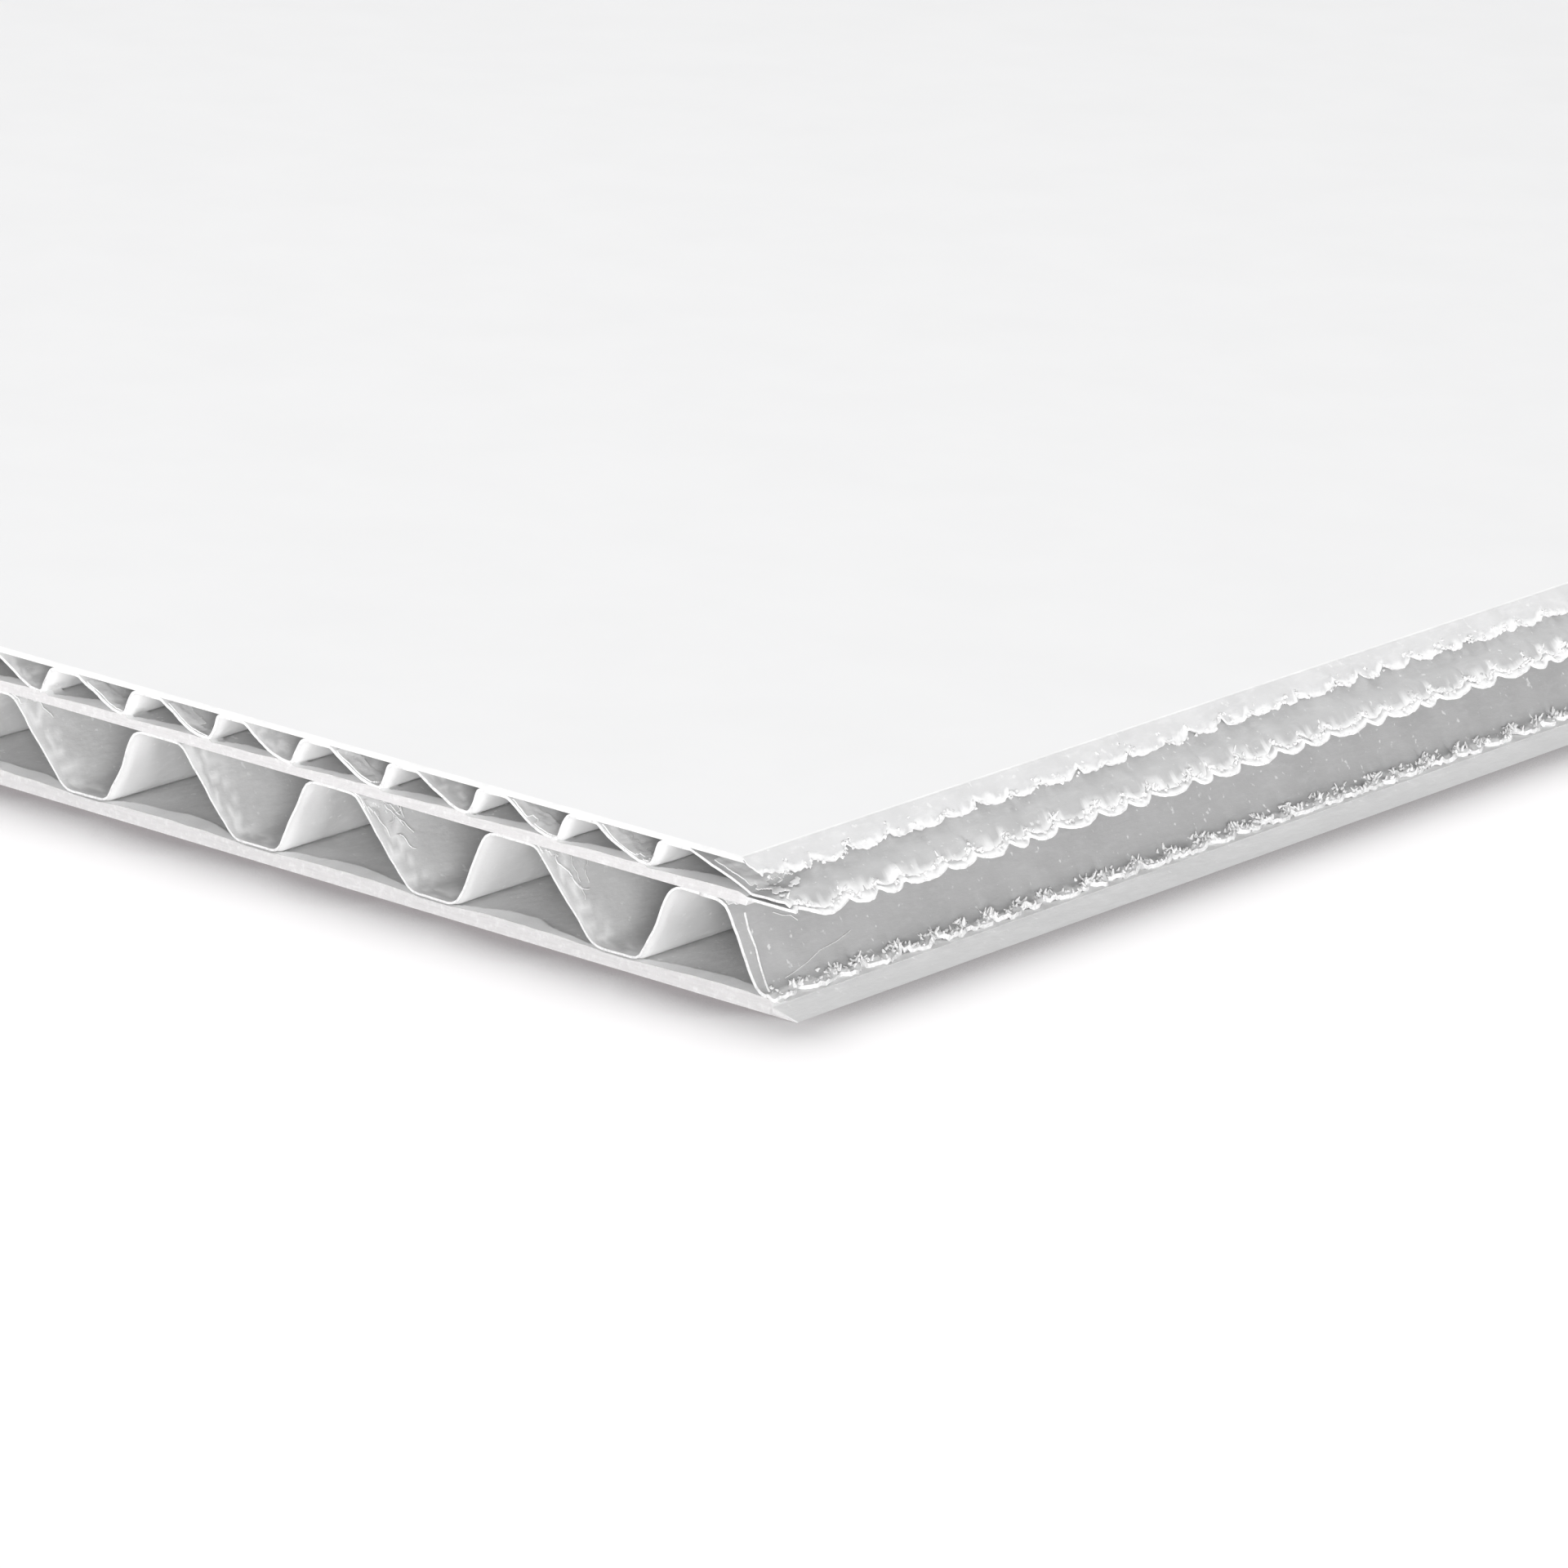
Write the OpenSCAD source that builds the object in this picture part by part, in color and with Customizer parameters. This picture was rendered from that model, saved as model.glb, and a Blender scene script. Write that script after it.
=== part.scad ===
// Double-wall corrugated mounting board, one sheet lying flat.
// Five papers are glued into one board: top liner, fine waves, middle liner, coarse waves
// and bottom liner. The waves run along Y. The front edge (-Y) is a clean cut across them.
// The right edge (+X) runs along them and is cut at a slant, so each paper ends at its own
// distance from the edge of the bottom liner. The other two edges are plain cuts.

/* [Sheet] */
// Width of the bottom liner, across the waves
sheet_w = 210; // [60:1:420]
// Length of the sheet, along the waves
sheet_l = 297; // [60:1:600]

/* [Liners] */
// Thickness of the smooth top liner
top_t = 0.14; // [0.1:0.01:0.4]
// Thickness of the liner between the two layers of waves
middle_t = 0.24; // [0.12:0.01:0.4]
// Thickness of the bottom liner
bottom_t = 0.35; // [0.15:0.01:0.5]

/* [Waved papers] */
// Thickness of the paper in the fine waves
upper_paper = 0.15; // [0.08:0.01:0.2]
// Thickness of the paper in the coarse waves
lower_paper = 0.12; // [0.08:0.01:0.2]
// Straight pieces that each bend of the waves is made of
bend_steps = 3; // [2:1:6]

/* [Upper fine waves] */
// Height of the fine layer, from liner to liner
upper_h = 0.88; // [0.8:0.01:1.1]
// Distance from one fine wave to the next
upper_pitch = 3.18; // [3.1:0.01:4]
// Flat top of a fine wave, glued to the top liner
upper_crest = 1.00; // [0.8:0.01:1.05]
// Run of a fine wave's steep side
upper_steep = 0.33; // [0.25:0.01:0.4]
// Run of a fine wave's long side
upper_slope = 1.25; // [1:0.01:1.3]
// Bend radius at a fine wave's tight bends, in the middle of the paper
upper_bend = 0.20; // [0.12:0.01:0.25]
// Bend radius where a fine wave's long side sweeps into its foot
upper_sweep = 1.6; // [0.3:0.1:2]
// Distance from the top liner's right edge to the first steep side
upper_inset = 2.75; // [2.5:0.01:3.1]
// Run of the last long side, which the cut at the right edge has pressed down
upper_last_slope = 2.1; // [1.2:0.01:2.3]
// Setback of the last foot's end from the cut through the middle liner
upper_foot_back = 0.05; // [0:0.01:0.1]

/* [Lower coarse waves] */
// Height of the coarse layer, from liner to liner
lower_h = 2.39; // [2:0.01:2.6]
// Distance from one coarse wave to the next
lower_pitch = 6.5; // [6.3:0.01:8]
// Flat top of a coarse wave, glued to the middle liner
lower_crest = 1.72; // [1.5:0.01:2]
// Run of a coarse wave's steep side
lower_steep = 1.07; // [0.8:0.01:1.2]
// Run of a coarse wave's long side
lower_slope = 2.05; // [1.8:0.01:2.2]
// Bend radius at a coarse wave's tight bends, in the middle of the paper
lower_bend = 0.45; // [0.2:0.01:0.5]
// Bend radius where a coarse wave's long side sweeps into its foot
lower_sweep = 0.7; // [0.3:0.1:2]
// Distance from the top liner's right edge to the first steep side
lower_inset = 2.26; // [2:0.01:2.6]
// Run of the last long side at the right edge
lower_last_slope = 1.25; // [1.1:0.01:1.5]
// Setback of the last foot's end from the cut through the bottom liner
lower_foot_back = 0.50; // [0.4:0.01:0.6]

/* [Slanted right edge] */
// Lean of the cut through each liner, from upright, in degrees
cut_lean = 48; // [20:1:50]
// Setback of the top liner's upper edge from the bottom liner's lower edge
top_back = 2; // [2:0.01:2.5]
// Setback of the middle liner's lower edge from the bottom liner's lower edge
middle_back = 0.25; // [0:0.01:0.3]

/* [Hidden] */

right_x = sheet_w / 2;
left_x = -sheet_w / 2;
front_y = -sheet_l / 2;

// Height of each paper's underside
lower_z = bottom_t;
middle_z = lower_z + lower_h;
upper_z = middle_z + middle_t;
top_z = upper_z + upper_h;

// Right edges: the liners' lower corners, and the line that the waves are counted from
top_edge_x = right_x - top_back;
top_x = top_edge_x + cut_run(top_t);
middle_x = right_x - middle_back;

// Sideways run of the slanted cut over a height
function cut_run(height) = height * tan(cut_lean);

// Direction from one corner to the next, in degrees
function heading(from, to) = atan2(to[1] - from[1], to[0] - from[0]);

// Turn from one direction to another, between -180 and 180 degrees
function turn(from, to) = to - from > 180 ? to - from - 360
                        : to - from < -180 ? to - from + 360
                        : to - from;

// A point to the left of another, seen along a direction
function aside(point, direction, distance) =
    [point[0] - distance * sin(direction), point[1] + distance * cos(direction)];

// One face of the paper round a corner: an arc about the bend's centre.
// A corner is [x, z, bend radius], and the face lies at a distance from the paper's middle.
function bend_face(before, corner, after, distance) =
    let (start = heading(before, corner),
         swing = turn(start, heading(corner, after)),
         reach = corner[2] * tan(abs(swing) / 2),
         tangent = [corner[0] - reach * cos(start), corner[1] - reach * sin(start)],
         radius = sign(swing) * corner[2],
         centre = aside(tangent, start, radius))
    [for (i = [0 : bend_steps])
        aside(centre, start + swing * i / bend_steps, distance - radius)];

// One face of the whole waved paper, from its right end to its left end
function paper_face(corners, distance) =
    let (last = len(corners) - 1)
    concat(
        [aside(corners[0], heading(corners[0], corners[1]), distance)],
        [for (i = [1 : last - 1])
            each bend_face(corners[i - 1], corners[i], corners[i + 1], distance)],
        [aside(corners[last], heading(corners[last - 1], corners[last]), distance)]);

function backwards(points) = [for (i = [len(points) - 1 : -1 : 0]) points[i]];

// The corners of one wave, from its long side's foot to its steep side's foot.
// x is where the steep side meets the crest.
function wave(x, low, high, crest, steep, slope, bend, sweep) = [
    [x + crest + slope, low, sweep],
    [x + crest, high, bend],
    [x, high, bend],
    [x - steep, low, bend]];

// A waved paper's section, in X and Z, trimmed to the sheet's left edge and its own right end
module waved_section(height, paper, pitch, crest, steep, slope, bend, sweep, inset, last_slope,
                     end_x) {
    low = paper / 2;
    high = height - paper / 2;
    first_x = top_edge_x - inset;
    waves = ceil((first_x - left_x) / pitch) + 1;
    // The sweep takes no more of the foot than the bend at the foot's other end leaves it
    foot = pitch - crest - steep - slope;
    foot_left = foot - bend * tan(atan2(high - low, steep) / 2);
    fitted_sweep = min(sweep, foot_left / tan(atan2(high - low, slope) / 2));
    corners = concat(
        [[right_x, low, 0]],
        wave(first_x, low, high, crest, steep, last_slope, bend, bend),
        [for (i = [1 : waves])
            each wave(first_x - i * pitch, low, high, crest, steep, slope, bend, fitted_sweep)],
        [[first_x - (waves + 1) * pitch, low, 0]]);
    intersection() {
        polygon(concat(paper_face(corners, paper / 2),
                       backwards(paper_face(corners, -paper / 2))));
        translate([left_x, 0]) square([end_x - left_x, height]);
    }
}

// A section in X and Z, run along the whole length of the sheet
module along_sheet(z) {
    translate([0, 0, z]) rotate([90, 0, 0])
        linear_extrude(height = sheet_l, center = true) children();
}

// A flat liner, with the slanted cut at its right edge. end_x is its lower corner.
module liner(z, thickness, end_x) {
    along_sheet(z)
        polygon([[left_x, 0], [end_x, 0], [end_x - cut_run(thickness), thickness],
                 [left_x, thickness]]);
}

module bottom_liner() {
    color("gainsboro") liner(0, bottom_t, right_x);
}

module lower_flute() {
    color("silver") along_sheet(lower_z)
        waved_section(lower_h, lower_paper, lower_pitch, lower_crest, lower_steep, lower_slope,
                      lower_bend, lower_sweep, lower_inset, lower_last_slope,
                      right_x - cut_run(bottom_t) - lower_foot_back);
}

module middle_liner() {
    color("gainsboro") liner(middle_z, middle_t, middle_x);
}

module upper_flute() {
    color("silver") along_sheet(upper_z)
        waved_section(upper_h, upper_paper, upper_pitch, upper_crest, upper_steep, upper_slope,
                      upper_bend, upper_sweep, upper_inset, upper_last_slope,
                      middle_x - cut_run(middle_t) - upper_foot_back);
}

module top_liner() {
    color("whitesmoke") liner(top_z, top_t, top_x);
}

bottom_liner();
lower_flute();
middle_liner();
upper_flute();
top_liner();
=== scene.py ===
"""The looks of a double-wall corrugated mounting board: torn paper edges, waves, fibres and studio."""

import bisect
import math
import random

import bmesh
import bpy
from bpy.props import FloatProperty, FloatVectorProperty, IntProperty, PointerProperty
from mathutils import Matrix, Vector, noise


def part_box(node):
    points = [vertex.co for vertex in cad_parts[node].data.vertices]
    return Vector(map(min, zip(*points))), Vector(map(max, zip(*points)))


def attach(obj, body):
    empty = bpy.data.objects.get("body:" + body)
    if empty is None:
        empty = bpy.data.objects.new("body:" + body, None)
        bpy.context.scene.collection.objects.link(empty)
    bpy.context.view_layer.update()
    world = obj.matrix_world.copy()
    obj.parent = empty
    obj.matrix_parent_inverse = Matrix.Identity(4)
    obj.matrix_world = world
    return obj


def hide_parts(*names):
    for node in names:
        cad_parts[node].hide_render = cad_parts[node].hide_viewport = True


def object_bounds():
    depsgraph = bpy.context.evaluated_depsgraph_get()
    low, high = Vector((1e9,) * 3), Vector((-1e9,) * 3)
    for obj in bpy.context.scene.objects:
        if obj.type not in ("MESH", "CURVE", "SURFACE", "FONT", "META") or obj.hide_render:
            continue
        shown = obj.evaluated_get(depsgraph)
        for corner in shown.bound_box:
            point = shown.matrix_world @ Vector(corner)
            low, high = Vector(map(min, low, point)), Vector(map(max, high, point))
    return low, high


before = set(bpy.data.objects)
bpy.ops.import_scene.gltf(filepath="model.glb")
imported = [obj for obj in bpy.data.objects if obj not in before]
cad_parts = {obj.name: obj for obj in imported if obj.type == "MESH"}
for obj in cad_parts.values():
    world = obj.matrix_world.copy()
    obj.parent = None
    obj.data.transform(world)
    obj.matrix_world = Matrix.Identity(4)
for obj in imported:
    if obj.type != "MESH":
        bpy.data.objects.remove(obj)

bl_info = {
    "name": "Corrugated Mounting Board",
    "version": (1, 0, 0),
    "blender": (4, 5, 0),
    "location": "View3D > Sidebar > Board",
    "description": "Dresses a double-wall corrugated mounting board as cut and torn paper",
    "category": "Object",
}

MM = 0.001
BODY = "root"

# Millimetres from the sheet's end at which a run along the waves has a row of points
END_ROWS = [0, 0.07, 0.15, 0.25, 0.38, 0.55, 0.75, 1.0, 1.3, 1.7, 2.2, 2.9, 3.8, 5.0, 6.6, 9.0, 14.0, 24.0]

FRAME_LOW, FRAME_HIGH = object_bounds()
FRONT_Y = FRAME_LOW.y
BACK_Y = FRAME_HIGH.y
LENGTH = (BACK_Y - FRONT_Y) / MM
WIDTH = (FRAME_HIGH.x - FRAME_LOW.x) / MM


# Each paper's lowest and highest corners
BOXES = {node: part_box(node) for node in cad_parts}


def height(node):
    """The heights of a paper's underside and top, in metres."""
    low, high = BOXES[node]
    return low.z, high.z


def right_end(node):
    """X of a paper's right end, in metres."""
    return BOXES[node][1].x


def upper_edge_x(node):
    """X of the right end of a liner's top face."""
    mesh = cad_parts[node].data
    top = height(node)[1]
    return max(v.co.x for v in mesh.vertices if v.co.z > top - 0.01 * MM)


# The upper right edge of the top liner, from which distances across the torn edge are taken
EDGE_X = upper_edge_x("top_liner")


# Sizes and colours

class TornEdgeSizes(bpy.types.PropertyGroup):
    """The long edge that a toothed blade has torn."""
    tooth: FloatProperty(
        name="Tooth", description="Distance from one torn scallop to the next",
        default=1.34 * MM, unit="LENGTH")
    bite: FloatProperty(
        name="Bite", description="Depth of a scallop in the middle liner's edge",
        default=0.28 * MM, unit="LENGTH")
    droop: FloatProperty(
        name="Droop", description="How far the middle liner's torn edge is bent down",
        default=0.36 * MM, unit="LENGTH")
    skirt_drop: FloatProperty(
        name="Skirt drop", description="How far the torn skirt hangs under the top liner",
        default=0.42 * MM, unit="LENGTH")
    fine_step: FloatProperty(
        name="Fine step", description="Distance between rows near the front corner",
        default=0.1 * MM, unit="LENGTH")
    coarse_step: FloatProperty(
        name="Coarse step", description="Distance between rows along the rest of the edge",
        default=0.4 * MM, unit="LENGTH")
    fine_reach: FloatProperty(
        name="Fine reach", description="Length of the edge that has the fine step",
        default=46 * MM, unit="LENGTH")


class MouthSizes(bpy.types.PropertyGroup):
    """The clean cut across the waves."""
    lip_height: FloatProperty(
        name="Lip height", description="Height of the burr that the blade raised in a tunnel's mouth",
        default=0.13 * MM, unit="LENGTH")
    lip_depth: FloatProperty(
        name="Lip depth", description="How far the burr reaches into the tunnel",
        default=0.75 * MM, unit="LENGTH")
    crumple: FloatProperty(
        name="Crumple", description="How far the waved paper strays near its cut end",
        default=0.10 * MM, unit="LENGTH")


class PaperColours(bpy.types.PropertyGroup):
    """Colours of the papers, as scene linear values."""
    liner: FloatVectorProperty(
        name="Liner", description="Smooth face of a liner",
        default=(0.83, 0.83, 0.834), subtype="COLOR", size=3, min=0, max=1)
    core: FloatVectorProperty(
        name="Liner core", description="Cut edge of a liner",
        default=(0.80, 0.79, 0.793), subtype="COLOR", size=3, min=0, max=1)
    wave: FloatVectorProperty(
        name="Wave", description="Face of the waved papers inside the board",
        default=(0.72, 0.72, 0.72), subtype="COLOR", size=3, min=0, max=1)
    # Darker than the wave colour: painted shade, for the fine paper's torn end and the middle liner's top
    # face in the fine tunnels.
    bared_painted_shade: FloatVectorProperty(
        name="Bared wave", description="Face of the waved papers that the torn edge has bared",
        default=(0.58, 0.58, 0.582), subtype="COLOR", size=3, min=0, max=1)
    # Darker still: painted shade on the last coarse wave under the overhang of the torn middle liner.
    web_painted_shade: FloatVectorProperty(
        name="Bared web", description="Face of the last coarse wave, under the torn middle liner",
        default=(0.50, 0.50, 0.502), subtype="COLOR", size=3, min=0, max=1)
    torn: FloatVectorProperty(
        name="Torn fibre", description="Torn and frayed paper",
        default=(0.96, 0.96, 0.96), subtype="COLOR", size=3, min=0, max=1)


class StudioSizes(bpy.types.PropertyGroup):
    """Camera, lamps and floor."""
    azimuth: FloatProperty(
        name="Azimuth", description="Camera's turn about the sheet's corner",
        default=math.radians(39.354), subtype="ANGLE")
    elevation: FloatProperty(
        name="Elevation", description="Camera's height angle",
        default=math.radians(17.052), subtype="ANGLE")
    roll: FloatProperty(
        name="Roll", description="Camera's turn about its own axis",
        default=math.radians(1.802), subtype="ANGLE")
    camera_place: FloatVectorProperty(
        name="Camera place", description="Camera's place, from the sheet's top corner",
        default=(116.117 * MM, -139.979 * MM, 57.781 * MM), subtype="TRANSLATION", size=3)
    lens: FloatProperty(
        name="Lens", description="Focal length in millimetres", default=170.9)
    ambient: FloatProperty(
        name="Ambient", description="Strength of the even light all round", default=0.45)
    key: FloatProperty(
        name="Key", description="Light level of the soft lamp above and behind", default=0.56)
    fill: FloatProperty(
        name="Fill", description="Light level of the soft lamp in front", default=0.80)


GROUPS = {
    "board_torn": TornEdgeSizes,
    "board_mouth": MouthSizes,
    "board_colours": PaperColours,
    "board_studio": StudioSizes,
}


# Shapes

def blend_over(value, start, end):
    """A smooth 0 to 1 ramp from start to end."""
    t = min(max((value - start) / (end - start), 0.0), 1.0)
    return t * t * (3 - 2 * t)


def place(co):
    """A point's distance right of the top liner's edge, behind the front and above the floor, in mm."""
    return Vector(((co.x - EDGE_X) / MM, (co.y - FRONT_Y) / MM, co.z / MM))


def wander(point, size, seed, octaves=2):
    """Smooth noise of about -1 to 1, with features of a size in mm."""
    spot = Vector((point.x / size + seed * 7.31, point.y / size - seed * 3.17, point.z / size))
    return noise.fractal(spot, 0.9, 2.1, octaves)


def tooth_marks(back, pitch, shift, seed):
    """Where a point along the edge lies in its scallop: 0 at the cusps, 1 in the middle of a lobe."""
    def cusp(number):
        jitter = noise.cell(Vector((number + 0.5, seed + 0.5, 0.5))) - 0.5
        return shift + pitch * (number + 0.34 * jitter)
    number = math.floor((back - shift) / pitch)
    if back < cusp(number):
        number -= 1
    elif back >= cusp(number + 1):
        number += 1
    start, end = cusp(number), cusp(number + 1)
    share = min(max((back - start) / (end - start), 0.0), 1.0)
    size = 0.75 + 0.5 * noise.cell(Vector((number + 0.5, seed + 9.5, 2.5)))
    return math.sin(math.pi * share) ** 0.55, size


def merged_copy(node):
    """The CAD node's mesh as a bmesh with its loose triangles joined."""
    bm = bmesh.new()
    bm.from_mesh(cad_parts[node].data)
    bmesh.ops.remove_doubles(bm, verts=bm.verts[:], dist=0.0001 * MM)
    return bm


def section_line(node):
    """The front outline of a paper's upper face, as a chain of edges across the sheet."""
    bm = merged_copy(node)
    bm.normal_update()
    chain = {edge for edge in bm.edges
             if all(v.co.y < FRONT_Y + 0.01 * MM for v in edge.verts)
             and any(f.normal.z > 0.05 and abs(f.normal.y) < 0.5 for f in edge.link_faces)}
    bmesh.ops.delete(bm, geom=[e for e in bm.edges if e not in chain], context="EDGES")
    return bm


def keep_right_of(bm, x, keep_right=True):
    bmesh.ops.bisect_plane(
        bm, geom=bm.verts[:] + bm.edges[:] + bm.faces[:], dist=0.0001 * MM, plane_co=(x, 0, 0),
        plane_no=(1, 0, 0), clear_inner=keep_right, clear_outer=not keep_right)


def refine(bm, step_at):
    """Divides each edge of a chain into steps of at most step_at(x) millimetres."""
    by_cuts = {}
    for edge in bm.edges:
        middle = (edge.verts[0].co + edge.verts[1].co) / 2
        cuts = math.ceil(edge.calc_length() / MM / step_at(place(middle).x) - 0.01) - 1
        by_cuts.setdefault(cuts, []).append(edge)
    for cuts, edges in sorted(by_cuts.items()):
        if cuts > 0:
            bmesh.ops.subdivide_edges(bm, edges=edges, cuts=cuts)


def mark_distance(bm, end_x):
    """Keeps each point's distance along the chain from its end at end_x, in mm, as a layer."""
    layer = bm.verts.layers.float.new("to_end")
    last = min((v for v in bm.verts if len(v.link_edges) == 1), key=lambda v: abs(v.co.x - end_x))
    travelled = 0.0
    seen = set()
    while last is not None:
        last[layer] = travelled
        seen.add(last)
        following = None
        for edge in last.link_edges:
            other = edge.other_vert(last)
            if other not in seen:
                following = other
                travelled += edge.calc_length() / MM
        last = following
    return layer


def run_along(bm, rows):
    """Extrudes the chain along Y, divided at rows given in millimetres behind the front."""
    far = bmesh.ops.extrude_edge_only(bm, edges=bm.edges[:])["geom"]
    for vert in far:
        if isinstance(vert, bmesh.types.BMVert):
            vert.co.y = BACK_Y
    divide(bm, 1, rows)
    bmesh.ops.recalc_face_normals(bm, faces=bm.faces[:])
    if sum(f.normal.z for f in bm.faces) < 0:
        bmesh.ops.reverse_faces(bm, faces=bm.faces[:])


def divide(bm, axis, marks):
    """Divides every edge that runs the sheet's whole way along an axis, at marks in mm from its start."""
    start, length = (FRAME_LOW.x, WIDTH) if axis == 0 else (FRONT_Y, LENGTH)
    half = length * MM / 2
    edges = [e for e in bm.edges if abs(e.verts[0].co[axis] - e.verts[1].co[axis]) > half]
    steps = len(marks) - 1
    before = {}
    for vert in {v for e in edges for v in e.verts}:
        number = 0 if vert.co[axis] < start + half else steps
        before[line_of(vert, axis), number] = vert.co[axis]
        vert.co[axis] = start + number / steps * length * MM
    bmesh.ops.subdivide_edges(bm, edges=edges, cuts=steps - 1)
    for vert in bm.verts:
        number = round((vert.co[axis] - start) / (length * MM) * steps)
        vert.co[axis] = before.get((line_of(vert, axis), number), start + marks[number] * MM)


def line_of(vert, axis):
    """Names the line along an axis on which a point lies."""
    return tuple(round(vert.co[i] / (0.001 * MM)) for i in range(3) if i != axis)


def both_ends(rows):
    """Rows from the front end, and the coarser half of them again from the back end."""
    back = [LENGTH - row for row in reversed(rows[::2])]
    middle = [LENGTH * share for share in (0.25, 0.5, 0.75)]
    return rows + middle + back


def torn_rows(sizes):
    fine = int(sizes.fine_reach / sizes.fine_step)
    coarse = int((LENGTH * MM - sizes.fine_reach) / sizes.coarse_step)
    rows = [i * sizes.fine_step / MM for i in range(fine)]
    start = sizes.fine_reach / MM
    return rows + [start + (LENGTH - start) * i / coarse for i in range(coarse + 1)]


def move_points(bm, shift):
    """Moves every point by shift(place, distance to the end), in mm."""
    layer = bm.verts.layers.float.get("to_end")
    for vert in bm.verts:
        to_end = vert[layer] if layer else 99.0
        vert.co += shift(place(vert.co), to_end) * MM


def make_piece(name, bm, materials):
    """A new object from a bmesh, riding on the board."""
    mesh = bpy.data.meshes.new(name)
    bm.to_mesh(mesh)
    bm.free()
    piece = bpy.data.objects.new(name, mesh)
    bpy.context.scene.collection.objects.link(piece)
    for material in materials:
        mesh.materials.append(material)
    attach(piece, BODY)
    return piece


def give_thickness(piece, paper, thin=0.35, thin_reach=0.35, mouth=1.0):
    """Makes a closed paper from its upper face, thinner towards its torn end and its cut ends."""
    mesh = piece.data
    group = piece.vertex_groups.new(name="thickness")
    layer = mesh.attributes.get("to_end")
    for vert in mesh.vertices:
        to_end = layer.data[vert.index].value if layer else 99.0
        share = thin + (1 - thin) * blend_over(to_end, 0.0, thin_reach)
        back = (vert.co.y - FRONT_Y) / MM
        share *= mouth + (1 - mouth) * blend_over(min(back, LENGTH - back), 0.0, 0.3)
        group.add([vert.index], share, "REPLACE")
    solid = piece.modifiers.new("paper", "SOLIDIFY")
    solid.thickness = paper
    solid.offset = -1
    solid.use_even_offset = True
    solid.use_quality_normals = True
    solid.vertex_group = group.name
    solid.material_offset_rim = 1
    apply_modifiers(piece)


def apply_modifiers(piece):
    view = bpy.context.evaluated_depsgraph_get()
    rough = piece.data
    finished = bpy.data.meshes.new_from_object(piece.evaluated_get(view))
    piece.modifiers.clear()
    piece.data = finished
    name = rough.name
    bpy.data.meshes.remove(rough)
    finished.name = name
    finished.shade_smooth()
    finished.set_sharp_from_angle(angle=math.radians(48))


def mark_torn(bm, reach, raggedness, seed):
    """Keeps how frayed each point is, 1 at the torn end, as a layer that the paper colour reads."""
    to_end = bm.verts.layers.float["to_end"]
    torn = bm.verts.layers.float.new("torn")
    for vert in bm.verts:
        spot = place(vert.co)
        edge = reach * (1 + raggedness * wander(spot, 0.45, seed))
        vert[torn] = 1 - blend_over(vert[to_end], edge * 0.5, max(edge, 0.02))


# Materials

def node_link(tree, source, target):
    tree.links.new(source, target)


def noise_node(tree, vector, scale, detail, rough=0.55):
    node = tree.nodes.new("ShaderNodeTexNoise")
    node.inputs["Scale"].default_value = scale
    node.inputs["Detail"].default_value = detail
    node.inputs["Roughness"].default_value = rough
    node_link(tree, vector, node.inputs["Vector"])
    return node.outputs["Fac"]


def stretched(tree, vector, scale):
    node = tree.nodes.new("ShaderNodeMapping")
    node.inputs["Scale"].default_value = scale
    node_link(tree, vector, node.inputs["Vector"])
    return node.outputs["Vector"]


def ramp(tree, value, start, end, low=0.0, high=1.0):
    node = tree.nodes.new("ShaderNodeMapRange")
    node.inputs["From Min"].default_value = start
    node.inputs["From Max"].default_value = end
    node.inputs["To Min"].default_value = low
    node.inputs["To Max"].default_value = high
    node_link(tree, value, node.inputs["Value"])
    return node.outputs["Result"]


def mixed(tree, factor, first, second):
    """A colour between two, each a socket or a plain colour."""
    node = tree.nodes.new("ShaderNodeMix")
    node.data_type = "RGBA"
    node_link(tree, factor, node.inputs["Factor"])
    for socket, colour in ((node.inputs["A"], first), (node.inputs["B"], second)):
        if isinstance(colour, bpy.types.NodeSocket):
            node_link(tree, colour, socket)
        else:
            socket.default_value = (*colour, 1)
    return node.outputs["Result"]


def added(tree, first, second, weight):
    node = tree.nodes.new("ShaderNodeMath")
    node.operation = "MULTIPLY_ADD"
    node_link(tree, second, node.inputs[0])
    node.inputs[1].default_value = weight
    node_link(tree, first, node.inputs[2])
    return node.outputs["Value"]


def bumped(tree, shader, height_socket, distance, strength=1.0):
    node = tree.nodes.new("ShaderNodeBump")
    node.inputs["Strength"].default_value = strength
    node.inputs["Distance"].default_value = distance
    node_link(tree, height_socket, node.inputs["Height"])
    node_link(tree, node.outputs["Normal"], shader.inputs["Normal"])


def new_paper(name, roughness):
    """A material with a shader, and object coordinates in millimetres."""
    material = bpy.data.materials.new(name)
    material.use_nodes = True
    tree = material.node_tree
    tree.nodes.clear()
    shader = tree.nodes.new("ShaderNodeBsdfPrincipled")
    shader.inputs["Roughness"].default_value = roughness
    shader.inputs["Specular IOR Level"].default_value = 0.25
    output = tree.nodes.new("ShaderNodeOutputMaterial")
    node_link(tree, shader.outputs["BSDF"], output.inputs["Surface"])
    coordinates = tree.nodes.new("ShaderNodeTexCoord").outputs["Object"]
    return material, tree, shader, stretched(tree, coordinates, (1 / MM, 1 / MM, 1 / MM))


def darker(colour, share):
    return tuple(c * share for c in colour)


def smooth_liner_material(colours):
    """Calendared white paper: almost flat, with a faint cloudiness."""
    material, tree, shader, mm = new_paper("smooth_liner", 0.62)
    cloud = ramp(tree, noise_node(tree, mm, 0.22, 3), 0.35, 0.7)
    speck = noise_node(tree, mm, 6.0, 3)
    tone = mixed(tree, cloud, tuple(colours.liner), darker(colours.liner, 0.985))
    node_link(tree, mixed(tree, ramp(tree, speck, 0.6, 0.8, 0, 0.25), tone,
                          darker(colours.liner, 0.97)), shader.inputs["Base Color"])
    bumped(tree, shader, speck, 0.004 * MM, 0.3)
    return material


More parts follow.
